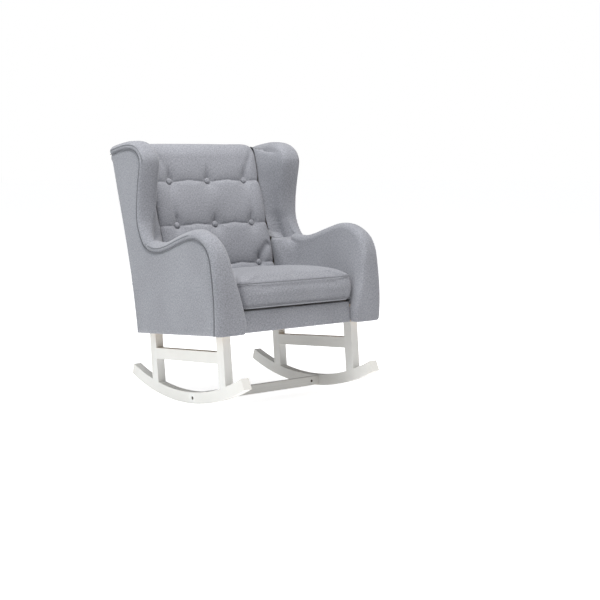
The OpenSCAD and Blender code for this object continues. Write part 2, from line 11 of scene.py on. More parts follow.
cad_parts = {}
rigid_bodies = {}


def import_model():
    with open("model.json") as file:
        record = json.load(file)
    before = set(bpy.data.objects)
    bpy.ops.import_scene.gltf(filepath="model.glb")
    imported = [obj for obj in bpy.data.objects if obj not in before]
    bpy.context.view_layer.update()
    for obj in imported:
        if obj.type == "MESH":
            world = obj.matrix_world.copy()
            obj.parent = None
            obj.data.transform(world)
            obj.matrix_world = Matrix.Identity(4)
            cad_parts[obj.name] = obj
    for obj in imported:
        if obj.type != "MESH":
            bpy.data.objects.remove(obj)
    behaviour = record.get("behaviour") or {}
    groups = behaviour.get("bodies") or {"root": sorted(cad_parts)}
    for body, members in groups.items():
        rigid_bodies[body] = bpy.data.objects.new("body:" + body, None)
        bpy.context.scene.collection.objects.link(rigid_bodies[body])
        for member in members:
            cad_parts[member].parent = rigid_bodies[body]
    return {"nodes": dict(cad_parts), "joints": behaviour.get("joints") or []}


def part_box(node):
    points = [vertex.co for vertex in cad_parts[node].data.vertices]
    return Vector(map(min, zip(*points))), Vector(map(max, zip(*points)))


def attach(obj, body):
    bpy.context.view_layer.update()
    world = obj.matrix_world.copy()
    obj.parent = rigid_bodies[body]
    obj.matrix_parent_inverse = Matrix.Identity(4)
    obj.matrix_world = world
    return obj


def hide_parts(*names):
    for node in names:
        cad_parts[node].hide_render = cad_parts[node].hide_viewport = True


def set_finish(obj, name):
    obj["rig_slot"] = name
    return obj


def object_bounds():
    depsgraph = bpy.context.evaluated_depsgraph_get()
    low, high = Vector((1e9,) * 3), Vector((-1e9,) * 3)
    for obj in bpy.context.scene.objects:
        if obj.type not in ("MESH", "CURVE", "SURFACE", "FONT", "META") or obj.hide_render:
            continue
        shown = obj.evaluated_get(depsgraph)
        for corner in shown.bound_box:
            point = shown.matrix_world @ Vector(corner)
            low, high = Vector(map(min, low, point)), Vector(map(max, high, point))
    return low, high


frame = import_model()
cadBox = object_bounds()
print("stage: CAD model loaded,", len(frame["nodes"]), "nodes")

# camera, floor and light
viewpoint = {
    "place": (-2.4742, -3.6250, 0.9106),
    "turn": 36.9,
    "down": 7.15,
    "lens": 68.93,
}
camera = bpy.data.objects.new("viewCamera", bpy.data.cameras.new("viewCamera"))
camera.data.lens = viewpoint["lens"]
camera.data.sensor_width = 36
camera.location = viewpoint["place"]
camera.rotation_euler = (math.radians(90 - viewpoint["down"]), 0, math.radians(-viewpoint["turn"]))
bpy.context.scene.collection.objects.link(camera)
bpy.context.scene.camera = camera
bpy.context.scene.view_settings.view_transform = "Standard"

studio = {
    "ambient": 0.264,         # light from all round
    "key": 40.0,              # soft lamp at the sitter's right, in watts
    "keyPlace": (-3.6, -0.1, 2.0),
    "keySize": 2.4,
    "keyTint": (0.90, 0.98, 1.0),
    "top": 155.0,             # wide lamp overhead, a little in front
    "topPlace": (-0.4, -0.52, 3.6),
    "topSize": 2.6,
    "topTint": (1.0, 1.0, 1.0),
    "floorGlow": 0.52,        # light the floor gives back by itself
    "floorLift": 0.25,        # added where the floor itself is seen
}


def areaLamp(name, place, size, watts, tint, aim=(0, 0, 0.45)):
    data = bpy.data.lights.new(name, "AREA")
    data.energy = watts
    data.size = size
    data.color = tint
    lamp = bpy.data.objects.new(name, data)
    lamp.location = place
    lamp.rotation_euler = (Vector(aim) - Vector(place)).to_track_quat("-Z", "Y").to_euler()
    bpy.context.scene.collection.objects.link(lamp)
    return lamp


areaLamp("keyLamp", studio["keyPlace"], studio["keySize"], studio["key"], studio["keyTint"])
areaLamp("topLamp", studio["topPlace"], studio["topSize"], studio["top"], studio["topTint"])

world = bpy.data.worlds.new("studioAir")
bpy.context.scene.world = world
world.use_nodes = True
nodes, links = world.node_tree.nodes, world.node_tree.links
nodes.clear()
rays = nodes.new("ShaderNodeLightPath")
ambient = nodes.new("ShaderNodeBackground")
ambient.inputs["Color"].default_value = (0.97, 0.98, 1.0, 1)
ambient.inputs["Strength"].default_value = studio["ambient"]
backdrop = nodes.new("ShaderNodeBackground")
backdrop.inputs["Color"].default_value = (1, 1, 1, 1)
backdrop.inputs["Strength"].default_value = 1.0
mix = nodes.new("ShaderNodeMixShader")
out = nodes.new("ShaderNodeOutputWorld")
links.new(rays.outputs["Is Camera Ray"], mix.inputs["Fac"])
links.new(ambient.outputs["Background"], mix.inputs[1])
links.new(backdrop.outputs["Background"], mix.inputs[2])
links.new(mix.outputs["Shader"], out.inputs["Surface"])

floorMesh = bpy.data.meshes.new("floor")
bm = bmesh.new()
bmesh.ops.create_circle(bm, cap_ends=True, radius=40, segments=64)
bm.to_mesh(floorMesh)
bm.free()
floor = bpy.data.objects.new("floor", floorMesh)
floor.location = (0, 0, cadBox[0].z - 0.0005)
bpy.context.scene.collection.objects.link(floor)
print("stage: camera, light and floor")


# finishes


def newFinish(name):
    finish = bpy.data.materials.new(name)
    finish.use_nodes = True
    tree = finish.node_tree
    return finish, tree, tree.nodes["Principled BSDF"]


def add(tree, kind, **values):
    node = tree.nodes.new(kind)
    for key, value in values.items():
        if key.startswith("in_"):
            node.inputs[key[3:].replace("_", " ")].default_value = value
        else:
            setattr(node, key, value)
    return node


def textured(tree, kind, place, **values):
    # a texture read at the given place
    node = add(tree, "ShaderNodeTex" + kind, **values)
    tree.links.new(place, node.inputs["Vector"])
    return node.outputs["Fac"]


def objectPlace(tree):
    return add(tree, "ShaderNodeTexCoord").outputs["Object"]


def stretchedPlace(tree, place, scale):
    node = add(tree, "ShaderNodeMapping", in_Scale=scale)
    tree.links.new(place, node.inputs["Vector"])
    return node.outputs["Vector"]


def ranged(tree, value, low=0.0, high=1.0, toLow=0.0, toHigh=1.0):
    node = add(tree, "ShaderNodeMapRange", in_From_Min=low, in_From_Max=high, in_To_Min=toLow,
               in_To_Max=toHigh)
    tree.links.new(value, node.inputs["Value"])
    return node.outputs["Result"]


def joined(tree, operation, first, second):
    node = add(tree, "ShaderNodeMath", operation=operation)
    tree.links.new(first, node.inputs[0])
    tree.links.new(second, node.inputs[1])
    return node.outputs["Value"]


def blended(tree, factor, dark, light):
    node = add(tree, "ShaderNodeMix", data_type="RGBA")
    node.inputs["A"].default_value = (*dark, 1)
    node.inputs["B"].default_value = (*light, 1)
    tree.links.new(factor, node.inputs["Factor"])
    return node.outputs["Result"]


def shaded(tree, colour, shade):
    node = add(tree, "ShaderNodeMix", data_type="RGBA", blend_type="MULTIPLY")
    node.inputs["Factor"].default_value = 1.0
    tree.links.new(colour, node.inputs["A"])
    tree.links.new(shade, node.inputs["B"])
    return node.outputs["Result"]


def bumped(tree, shader, height, strength, distance):
    node = add(tree, "ShaderNodeBump", in_Strength=strength, in_Distance=distance)
    tree.links.new(height, node.inputs["Height"])
    tree.links.new(node.outputs["Normal"], shader.inputs["Normal"])


def crossedWaves(tree, place, thread, **values):
    # warp and weft as crossing waves
    waves = [textured(tree, "Wave", place, bands_direction=axis, in_Scale=0.314 / thread, **values)
             for axis in ("X", "Y")]
    return joined(tree, "MULTIPLY", *waves)


cloth = {
    "dark": (0.216, 0.218, 0.239),
    "light": (0.360, 0.365, 0.396),
    "thread": 0.0011,         # width of a warp thread
    "dashes": ((330, 120, 300), (120, 330, 300)),    # how close the mottling lies, warp and weft
}


def wovenCloth():
    finish, tree, shader = newFinish("wovenFabric")
    weavePlace = add(tree, "ShaderNodeUVMap", uv_map="weave").outputs["UV"]
    # each yarn is a little uneven along its length
    weave = crossedWaves(tree, weavePlace, cloth["thread"], in_Distortion=1.2, in_Detail=2.0,
                         in_Detail_Scale=3.0)
    # mottled yarn: short dashes along warp and weft
    dashes = [textured(tree, "Noise", stretchedPlace(tree, weavePlace, scale), in_Scale=1.0,
                       in_Detail=4.0, in_Roughness=0.7)
              for scale in cloth["dashes"]]
    mottle = joined(tree, "ADD", *dashes)
    yarn = blended(tree, ranged(tree, mottle, 0.80, 1.20), cloth["dark"], cloth["light"])
    # wide soft change of tone, as dyed cloth has
    cloud = textured(tree, "Noise", objectPlace(tree), in_Scale=5.5, in_Detail=4.0, in_Roughness=0.55)
    shade = joined(tree, "MULTIPLY", ranged(tree, cloud, 0.30, 0.70, 0.93, 1.07),
                   ranged(tree, weave, toLow=0.86, toHigh=1.08))
    tree.links.new(shaded(tree, yarn, shade), shader.inputs["Base Color"])
    bumped(tree, shader, joined(tree, "ADD", weave, mottle), 0.30, 0.0005)
    shader.inputs["Roughness"].default_value = 0.92
    shader.inputs["Specular IOR Level"].default_value = 0.25
    shader.inputs["Sheen Weight"].default_value = 0.25
    shader.inputs["Sheen Roughness"].default_value = 0.45
    return finish


paint = {"colour": (0.79, 0.785, 0.765), "worn": (0.66, 0.63, 0.57), "bevel": 0.0020}


def paintedWood():
    finish, tree, shader = newFinish("paintedWood")
    place = objectPlace(tree)
    # faint brush marks and grain telegraphing through the paint
    grain = textured(tree, "Noise", stretchedPlace(tree, place, (60, 9, 60)), in_Scale=1.0,
                     in_Detail=6.0, in_Roughness=0.6)
    patch = textured(tree, "Noise", place, in_Scale=7.0, in_Detail=3.0)
    edge = add(tree, "ShaderNodeNewGeometry").outputs["Pointiness"]
    colour = blended(tree, ranged(tree, edge, 0.56, 0.68, 0.0, 0.5), paint["colour"], paint["worn"])
    tone = ranged(tree, patch, 0.3, 0.7, 0.965, 1.02)
    tree.links.new(shaded(tree, colour, tone), shader.inputs["Base Color"])
    tree.links.new(ranged(tree, grain, toLow=0.34, toHigh=0.52), shader.inputs["Roughness"])
    bumped(tree, shader, grain, 0.12, 0.0005)
    return finish


def twistedThread(name, dark, light):
    finish, tree, shader = newFinish(name)
    twist = textured(tree, "Noise", objectPlace(tree), in_Scale=900.0, in_Detail=2.0)
    tree.links.new(blended(tree, twist, dark, light), shader.inputs["Base Color"])
    bumped(tree, shader, twist, 0.4, 0.0003)
    shader.inputs["Roughness"].default_value = 0.85
    return finish


fabricFinish = wovenCloth()
paintFinish = paintedWood()


# Every length is in metres. The upholstery is shaped upright, x across, y to the back and
# z up from the body's underside, and seated then leans it back as the CAD model does.
upright = {
    "railFront": -0.268,      # front face of the front seat rail
    "railBack": -0.246,       # its rear face
    "railFoot": 0.002,        # its lower edge
}
liftAxis = next(j["axis"] for j in frame["joints"] if j["name"] == "cushion_lift")
lean = math.atan2(liftAxis[1], liftAxis[2])
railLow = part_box("front_seat_rail")[0]
seated = Matrix.Translation((
    0,
    railLow.y - upright["railFront"] * math.cos(lean) - upright["railFoot"] * math.sin(lean),
    railLow.z + upright["railBack"] * math.sin(lean) - upright["railFoot"] * math.cos(lean),
)) @ Matrix.Rotation(-lean, 4, "X")


def splineAt(points, k):
    # Catmull-Rom through the points, at fractional index k
    p = np.asarray(points, float)
    k = np.clip(np.asarray(k, float), 0, len(p) - 1)
    i = np.minimum(k.astype(int), len(p) - 2)
    t = (k - i)[..., None]
    a, b, c, d = (p[np.clip(i + s, 0, len(p) - 1)] for s in (-1, 0, 1, 2))
    return 0.5 * (2 * b + (c - a) * t + (2 * a - 5 * b + 4 * c - d) * t ** 2
                  + (3 * b - a - 3 * c + d) * t ** 3)


def runAlong(points):
    # how far along the line each of its points lies
    return np.concatenate([[0], np.cumsum(np.linalg.norm(np.diff(points, axis=0), axis=1))])


def evenKeys(points, count):
    # fractional indices that lie evenly along the spline's length
    k = np.linspace(0, len(points) - 1, 400)
    run = runAlong(splineAt(points, k))
    return np.interp(np.linspace(0, run[-1], count), run, k)


def evenSpline(points, count):
    return splineAt(points, evenKeys(points, count))


def smoothStep(a, b, x):
    t = np.clip((np.asarray(x, float) - a) / (b - a), 0, 1)
    return t * t * (3 - 2 * t)


def meshPiece(name, verts, faces, body="chair", slot=None, replaces=(), mirror=False):
    # a mesh given in the upright frame, set in place on its body
    verts = np.array(verts, float).reshape(-1, 3)
    if mirror:
        verts = verts * (-1, 1, 1)
    mesh = bpy.data.meshes.new(name)
    mesh.from_pydata([seated @ Vector(v) for v in verts], [], [tuple(f) for f in faces])
    mesh.validate()
    bm = bmesh.new()
    bm.from_mesh(mesh)
    bmesh.ops.remove_doubles(bm, verts=bm.verts, dist=1e-6)
    bmesh.ops.recalc_face_normals(bm, faces=bm.faces)
    bm.to_mesh(mesh)
    bm.free()
    mesh.shade_smooth()
    piece = bpy.data.objects.new(name, mesh)
    bpy.context.scene.collection.objects.link(piece)
    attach(piece, body)
    if slot:
        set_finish(piece, slot)
    if replaces:
        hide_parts(*replaces)
    return piece


def weaveUvs(piece):
    # the weave runs with the body's own axes, whichever way a face looks
    mesh = piece.data
    back = seated.inverted()
    layer = mesh.uv_layers.get("weave") or mesh.uv_layers.new(name="weave")
    for face in mesh.polygons:
        n = back.to_3x3() @ face.normal
        axis = max(range(3), key=lambda i: abs(n[i]))
        for loop in face.loop_indices:
            p = back @ mesh.vertices[mesh.loops[loop].vertex_index].co
            layer.data[loop].uv = ((p.y, p.z), (p.x, p.z), (p.x, p.y))[axis]


def loftFaces(rows, ring):
    # faces of closed rings of points, one row after another, capped at both ends
    faces = []
    for i in range(rows - 1):
        for j in range(ring):
            n = (j + 1) % ring
            faces.append((i * ring + j, i * ring + n, (i + 1) * ring + n, (i + 1) * ring + j))
    faces.append(tuple(range(ring)))
    faces.append(tuple((rows - 1) * ring + j for j in range(ring - 1, -1, -1)))
    return faces


def rimmedGrids(shown, hidden):
    # two like grids of points, back to back, with a rim round them
    rows, cols = shown.shape[:2]
    n = rows * cols
    faces = [(i * cols + j, i * cols + j + 1, (i + 1) * cols + j + 1, (i + 1) * cols + j)
             for i in range(rows - 1) for j in range(cols - 1)]
    faces += [tuple(i + n for i in reversed(f)) for f in faces]
    rim = [(i * cols + j, (i + 1) * cols + j) for i in range(rows - 1) for j in (0, cols - 1)]
    rim += [(i * cols + j, i * cols + j + 1) for j in range(cols - 1) for i in (0, rows - 1)]
    faces += [(a, b, b + n, a + n) for a, b in rim]
    return np.vstack([shown.reshape(-1, 3), hidden.reshape(-1, 3)]), faces


def unevenness(us, vs, scaleU, scaleV, seed):
    # soft noise over a grid, one row for each v
    return np.array([[noise.noise(Vector((u * scaleU, v * scaleV, seed))) for u in us] for v in vs])


def tubeFaces(path, radius, sides):
    # a round cord along a closed or open run of points, in the upright frame
    path = np.asarray(path, float)
    along = np.gradient(path, axis=0)
    along /= np.linalg.norm(along, axis=1)[:, None]
    side = np.cross(along, np.array([0.31, 0.17, 0.93]))
    side /= np.linalg.norm(side, axis=1)[:, None]
    other = np.cross(along, side)
    turn = np.linspace(0, 2 * math.pi, sides, endpoint=False)
    verts = (path[:, None] + radius * (np.cos(turn)[None, :, None] * side[:, None]
                                       + np.sin(turn)[None, :, None] * other[:, None]))
    return verts.reshape(-1, 3), loftFaces(len(path), sides)


# Seam round the outer panel as (y, z, rise of the padding beyond it, y and z where the
# padding's inner face ends), from the rear top forwards to the wing's foot, then on
# along the arm to the underside.
wingSeam = [
    (0.391, 0.690, 0.036, 0.394, 0.688), (0.330, 0.696, 0.034, 0.345, 0.716),
    (0.267, 0.698, 0.032, 0.322, 0.712), (0.220, 0.692, 0.029, 0.312, 0.690),
    (0.188, 0.676, 0.025, 0.307, 0.664), (0.170, 0.650, 0.018, 0.301, 0.634),
    (0.171, 0.622, 0.014, 0.297, 0.605), (0.188, 0.568, 0.014, 0.290, 0.556),
    (0.206, 0.500, 0.015, 0.273, 0.492), (0.215, 0.430, 0.019, 0.260, 0.430),
    (0.206, 0.384, 0.023, 0.248, 0.390), (0.188, 0.345, 0.028, 0.240, 0.356),
    (0.166, 0.320, 0.030, 0.236, 0.340),
]
armSeam = [
    (0.166, 0.320, 0.030, 0.236, 0.338), (0.120, 0.304, 0.036, 0.218, 0.250),
    (0.062, 0.301, 0.036, 0.205, 0.150), (0.000, 0.310, 0.036, 0.150, 0.084),
    (-0.065, 0.325, 0.036, 0.090, 0.084), (-0.137, 0.338, 0.035, 0.020, 0.084),
    (-0.185, 0.338, 0.034, -0.040, 0.084), (-0.225, 0.324, 0.032, -0.090, 0.084),
    (-0.256, 0.300, 0.031, -0.130, 0.084), (-0.274, 0.266, 0.030, -0.165, 0.084),
    (-0.281, 0.220, 0.030, -0.195, 0.084), (-0.285, 0.150, 0.029, -0.222, 0.084),
    (-0.285, 0.090, 0.027, -0.240, 0.080), (-0.281, 0.040, 0.024, -0.246, 0.040),
    (-0.276, 0.000, 0.022, -0.248, 0.000),
]
rearLine = [(0.274, 0.0), (0.278, 0.06), (0.292, 0.197), (0.309, 0.3), (0.330, 0.407),
            (0.358, 0.532), (0.385, 0.659)]
sideWidths = {
    "outer": 0.370,           # outermost surface of the side
    "seam": 0.3655,           # bottom of the seam's valley
    "backEdge": 0.2515,       # inner face where it meets the buttoned back
    "wingInner": 0.283,       # inner face of the wing behind its front edge
    "stations": 150,
    "across": 44,
}
# Inner face of the arm at each height
armInner = [(0.0, 0.2415), (0.05, 0.2415), (0.082, 0.251), (0.128, 0.262), (0.182, 0.276),
            (0.25, 0.291), (0.3, 0.299), (0.345, 0.306), (0.38, 0.312)]


def course(seam):
    return [s[:2] for s in seam]


def rearAt(z):
    return np.interp(z, [q[1] for q in rearLine] + [0.71], [q[0] for q in rearLine] + [0.396])


def seamFrame(seam, k):
    # points on the seam and the directions that lead out from the panel there
    line = course(seam)
    e = 1e-3
    d = splineAt(line, np.minimum(k + e, len(seam) - 1)) - splineAt(line, np.maximum(k - e, 0))
    d /= np.linalg.norm(d, axis=1)[:, None]
    return splineAt(line, k), np.stack([d[:, 1], -d[:, 0]], axis=1)


threads = []
# The thread tube laid along each seam. It is real thread, but its dark finish is painted shade that
# stands in for the shade in the seam groove.
seamShadeThread = {
    "radius": 0.0016,
    "sides": 6,
    "place": 0.3694,          # distance of the panel's seam line from the chair's middle
}


def sewnLine(name, points, mirror=False, body="chair"):
    verts, faces = tubeFaces(points, seamShadeThread["radius"], seamShadeThread["sides"])
    threads.append(meshPiece(name, verts, faces, body=body, slot="twine", mirror=mirror))


stitching = {
    "secondRow": 13,          # row of the band that carries the second line of stitches
    "groove": 0.0019,         # how far a row pulls the cloth in
    "wide": 0.0021,
    "pucker": 0.0016,         # gathers where the cloth turns over the arm's front
    "wrinkle": 0.0013,        # level creases at the foot of the wing's inner face
}


def sewn(doubleFrom, doubleTo, puckerFrom, puckerTo, wrinkled=False):
    def ripple(ring, base, normal, along):
        up = (ring[:, 1] - base[0]) * normal[0] + (ring[:, 2] - base[1]) * normal[1]
        outside = smoothStep(0.330, 0.350, ring[:, 0])
        double = float(smoothStep(doubleFrom - 0.02, doubleFrom, along)
                       * (1 - smoothStep(doubleTo, doubleTo + 0.02, along)))
        run = np.arange(len(ring)) - stitching["secondRow"]
        pull = stitching["groove"] * double * np.exp(-(run * 0.0012 / stitching["wide"]) ** 2)
        gather = float(smoothStep(puckerFrom, puckerFrom + 0.05, along)
                       * (1 - smoothStep(puckerTo - 0.05, puckerTo, along)))
        turn = math.sin(along * 380) + 0.6 * math.sin(along * 613 + 1)
        pull = pull + stitching["pucker"] * gather * turn * np.exp(-((up - 0.010) / 0.009) ** 2)
        soft = noise.noise(Vector((along * 9, base[0] * 3, 1)))
        pull = pull + 0.0012 * (soft + 0.4) * smoothStep(0.01, 0.03, up)
        ring = ring.copy()
        if wrinkled:
            z, y = ring[:, 2], ring[:, 1]
            low = smoothStep(0.352, 0.368, z) * (1 - smoothStep(0.395, 0.430, z))
            front = smoothStep(0.20, 0.215, y) * (1 - smoothStep(0.225, 0.250, y))
            inside = 1 - smoothStep(0.292, 0.305, ring[:, 0])
            fold = np.sin((z - 0.35) * 2 * math.pi / 0.0155)
            ring[:, 0] += stitching["wrinkle"] * fold * low * front * inside
        # in from the outside on the face, down on the crown
        ring[:, 0] -= pull * outside
        ring[:, 1:] -= (pull * (1 - outside))[:, None] * normal
        return ring, double > 0.5
    return ripple


def densely(section):
    # close rows over the first 30 mm, where the stitching is, and wider ones beyond
    k = np.linspace(0, len(section) - 1, 500)
    run = runAlong(splineAt(section, k))
    at = np.concatenate([np.linspace(0, 0.030, 26), np.linspace(0.034, run[-1], sideWidths["across"])])
    return splineAt(section, np.interp(at, run, k))


bandEnd = {
    "rolled": (0.90, 0.955, 0.982, 0.995),    # size of the last rings, so that the end is round
    "stretched": 8,           # rings that share the end's reach
}


def bandMesh(name, seam, crossing, innerFace, replaces, mirror, ripple, endReach):
    # crossing gives the section from the seam over the crown as (x, share of the rise)
    w = sideWidths
    k = evenKeys(course(seam), w["stations"])
    base, normal = seamFrame(seam, k)
    rise = splineAt([[s[2]] for s in seam], k)[:, 0]
    ends = splineAt([s[3:5] for s in seam], k)
    rings, stitchRun = [], []
    for i in range(len(k)):
        section = [(x, *(base[i] + share * rise[i] * normal[i])) for x, share in crossing(base[i])]
        last = np.array(section[-1][1:])
        for t in (0.22, 0.45, 0.7, 1.0):
            y, z = last + (ends[i] - last) * t
            section.append((innerFace(y, z, t), y, z))
        ring = densely(section)
        ring, doubled = ripple(ring, base[i], normal[i], i / (len(k) - 1))
        if doubled:
            stitchRun.append(ring[stitching["secondRow"]] + (0.0002, 0, 0))
        # the hidden side, inside the padding
        inside = [(w["seam"] - 0.012, *(base[i] - 0.010 * normal[i])),
                  (0.300, *(0.5 * base[i] + 0.5 * ends[i] - 0.004 * normal[i]))]
        rings.append(np.vstack([ring, inside[1], inside[0]]))
    rings = np.array(rings)
    # the ends roll over, the rear one out to the rear panel
    for end, reach in ((0, endReach[0]), (-1, endReach[1])):
        middle = rings[end].mean(0)
        for step, share in enumerate(bandEnd["rolled"]):
            i = step if end == 0 else -1 - step
            rings[i] = middle + (rings[i] - middle) * share
        for step in range(bandEnd["stretched"]):
            i = step if end == 0 else -1 - step
            rings[i, :, 1] += reach * (1 - step / bandEnd["stretched"]) ** 1.5
    sewnLine(name + "Stitching", stitchRun, mirror)
    return meshPiece(name, rings, loftFaces(len(k), rings.shape[1]), slot="woven_fabric",
                     replaces=replaces, mirror=mirror)


def wingInnerAt(z):
    # the wing's inner face meets the arm's at its foot
    return float(np.interp(z, (0.335, 0.45), (0.305, sideWidths["wingInner"])))


def wingCrossing(at):
    inner = wingInnerAt(at[1])
    mid = 0.5 * (0.345 + inner)
    back = 0.9 * float(1 - smoothStep(0.33, 0.47, at[1]))
    return [(sideWidths["seam"], 0), (0.3692, 0.16), (0.3700, 0.36), (0.3665, 0.62), (0.3565, 0.86),
            (0.342, 0.98), (mid + 0.004, 1.02 - 0.25 * back), (inner + 0.020, 0.90 - 0.55 * back),
            (inner + 0.006, 0.45 - 0.8 * back), (inner - 0.001, -0.35 - 0.7 * back)]


def wingFace(y, z, t):
    inner = wingInnerAt(z)
    return sideWidths["backEdge"] + (inner - sideWidths["backEdge"]) * (1 - t) ** 0.9


def armCrossing(at):
    inner = float(np.interp(at[1] + 0.01, *zip(*armInner)))
    return [(sideWidths["seam"], 0), (0.3692, 0.16), (0.3700, 0.34), (0.3665, 0.58), (0.3565, 0.83),
            (0.340, 0.98), (0.5 * (0.340 + inner), 1.01), (inner + 0.011, 0.88),
            (inner + 0.002, 0.50), (inner, 0.10)]


def armFace(y, z, t):
    inner = float(np.interp(z, *zip(*armInner)))
    atBack = float(smoothStep(0.10, 0.20, y))
    return inner + (sideWidths["backEdge"] - inner) * atBack * min(t * 1.6, 1)


for side, mirror in (("left", False), ("right", True)):
    wing = bandMesh(side + "WingBand", wingSeam, wingCrossing, wingFace, [side + "_wing_pad"],
                    mirror, sewn(0.0, 0.42, 2, 3, wrinkled=True), (0.006, 0.0))
    arm = bandMesh(side + "ArmBand", armSeam, armCrossing, armFace, [side + "_arm_pad"],
                   mirror, sewn(0.03, 0.42, 0.36, 0.66), (0.0, 0.0))
print("stage: wing and arm bands")

for side, mirror in (("left", False), ("right", True)):
    whole = wingSeam[:-1] + armSeam       # the two meet at the wing's foot
    flat = evenSpline(course(whole), 420)
    line = np.column_stack([np.full(len(flat), seamShadeThread["place"]), flat])
    sewnLine(side + "PanelSeam", line, mirror)
print("stage: panel seams")


# outer side panels
panelCloth = {
    "edgeDepth": 0.0066,      # how far the cloth drops into the seam
    "edgeWidth": 0.0065,      # over this width
    "grid": 0.011,
    "rows": (0.0022, 0.0050, 0.0085),    # rows of points along the seam, and how far in
    "inside": 0.3565,         # inner surface, against the board
}


def gapTo(edge, points):
    # distance of each point from the nearest point of the outline
    return np.array([np.min(np.linalg.norm(edge - q, axis=1)) for q in points])


def held(edge, points):
    # which points lie inside the outline
    a, b = edge, np.roll(edge, -1, axis=0)
    inside = []
    for q in points:
        cross = (a[:, 1] > q[1]) != (b[:, 1] > q[1])
        with np.errstate(divide="ignore", invalid="ignore"):
            at = (b[:, 0] - a[:, 0]) * (q[1] - a[:, 1]) / (b[:, 1] - a[:, 1]) + a[:, 0]
        inside.append(bool(np.sum(cross & (q[0] < at)) % 2))
    return np.array(inside)


def sidePanel(name, replaces, mirror):
    top = np.vstack([evenSpline(course(wingSeam), 90), evenSpline(course(armSeam), 150)[1:]])
    rear = evenSpline(rearLine, 60)
    foot = np.stack([np.linspace(top[-1][0], rear[0][0], 50)[1:-1], np.zeros(48)], axis=1)
    edge = np.vstack([top, foot, rear])
    step = panelCloth["grid"]
    lo, hi = edge.min(0), edge.max(0)
    gy, gz = np.meshgrid(np.arange(lo[0], hi[0], step), np.arange(lo[1], hi[1], step))
    inner = np.stack([gy.ravel(), gz.ravel()], axis=1)
    inner = inner[held(edge, inner) & (gapTo(edge, inner) > step * 0.6)]
    # more rows close to the edge carry the roll into the seam
    d = np.roll(edge, -1, axis=0) - np.roll(edge, 1, axis=0)
    out = np.stack([d[:, 1], -d[:, 0]], axis=1) / np.linalg.norm(d, axis=1)[:, None]
    rows = np.vstack([edge + sign * out * r for r in panelCloth["rows"] for sign in (1, -1)])
    rows = rows[held(edge, rows) & (gapTo(edge, rows) > 0.0018)]
    points = np.vstack([edge, rows, inner])
    loop = [(i, (i + 1) % len(edge)) for i in range(len(edge))]
    flat, _, tris, _, _, _ = delaunay_2d_cdt([Vector(p) for p in points], loop, [], 1, 1e-6)
    flat = np.array([tuple(p) for p in flat])
    gap = gapTo(edge, flat)
    w = panelCloth
    x = sideWidths["outer"] - w["edgeDepth"] * np.exp(-(gap / w["edgeWidth"]) ** 1.2)
    x -= 0.0016 * (np.array([noise.noise(Vector((q[0] * 6, q[1] * 5, 3))) for q in flat]) + 0.6) \
        * smoothStep(0, 0.06, gap)
    verts = np.column_stack([x, flat])
    back = np.column_stack([np.full(len(flat), w["inside"]), flat])
    n = len(flat)
    faces = [tuple(t) for t in tris] + [tuple(i + n for i in reversed(t)) for t in tris]
    edges = {(a, b): True for t in tris for a, b in zip(t, t[1:] + t[:1])}
    faces += [(a, b, b + n, a + n) for a, b in edges if (b, a) not in edges]
    return meshPiece(name, np.vstack([verts, back]), faces, slot="woven_fabric", replaces=replaces,
                     mirror=mirror)


for side, mirror in (("left", False), ("right", True)):
    sidePanel(side + "SidePanel", [side + "_outer_panel"], mirror)
print("stage: outer panels")

# buttoned back
backPad = {
    "half": 0.2496,           # half its width
    "foot": 0.090,
    "rows": (0.577, 0.403, 0.241),
    "columns": (-0.175, 0.0, 0.175),
    "dimple": 0.021,          # how far a button pulls in
    "dimpleWide": 0.026,
    "crease": 0.0165,         # how far the sewn row pulls in
    "creaseWide": 0.015,
    "arch": 0.0065,           # rise of a crease between its buttons
    "pleat": 0.0062,          # fold above each button
    "columnCount": 190,
    "rowCount": 250,
    # folds where the filling is pulled about: from x and z, to x and z, bow, depth, width
    "folds": [
        (-0.175, 0.565, -0.172, 0.42, 0.012, 0.0060, 0.010),
        (0.175, 0.565, 0.178, 0.42, -0.012, 0.0030, 0.012),
        (-0.175, 0.590, -0.238, 0.715, 0.004, 0.0028, 0.012),
        (0.175, 0.590, 0.240, 0.715, -0.004, 0.0040, 0.012),
        (0.175, 0.250, 0.236, 0.320, -0.006, 0.0070, 0.016),
        (-0.175, 0.250, -0.236, 0.320, 0.006, 0.0050, 0.016),
    ],
    "slope": math.radians(12.7),
}


def crest(z):
    # the front of the uncreased pad at each height
    return 0.195 + (z - 0.241) * math.tan(backPad["slope"])


def foldDepth(x, z, x0, z0, x1, z1, bow, depth, wide):
    length = math.hypot(x1 - x0, z1 - z0)
    t = np.clip(((x - x0) * (x1 - x0) + (z - z0) * (z1 - z0)) / length ** 2, 0, 1)
    off = ((x - x0) * (z1 - z0) - (z - z0) * (x1 - x0)) / length - bow * 4 * t * (1 - t)
    return depth * np.exp(-(off / wide) ** 2) * smoothStep(0, 0.12, t) * smoothStep(0, 0.12, 1 - t)


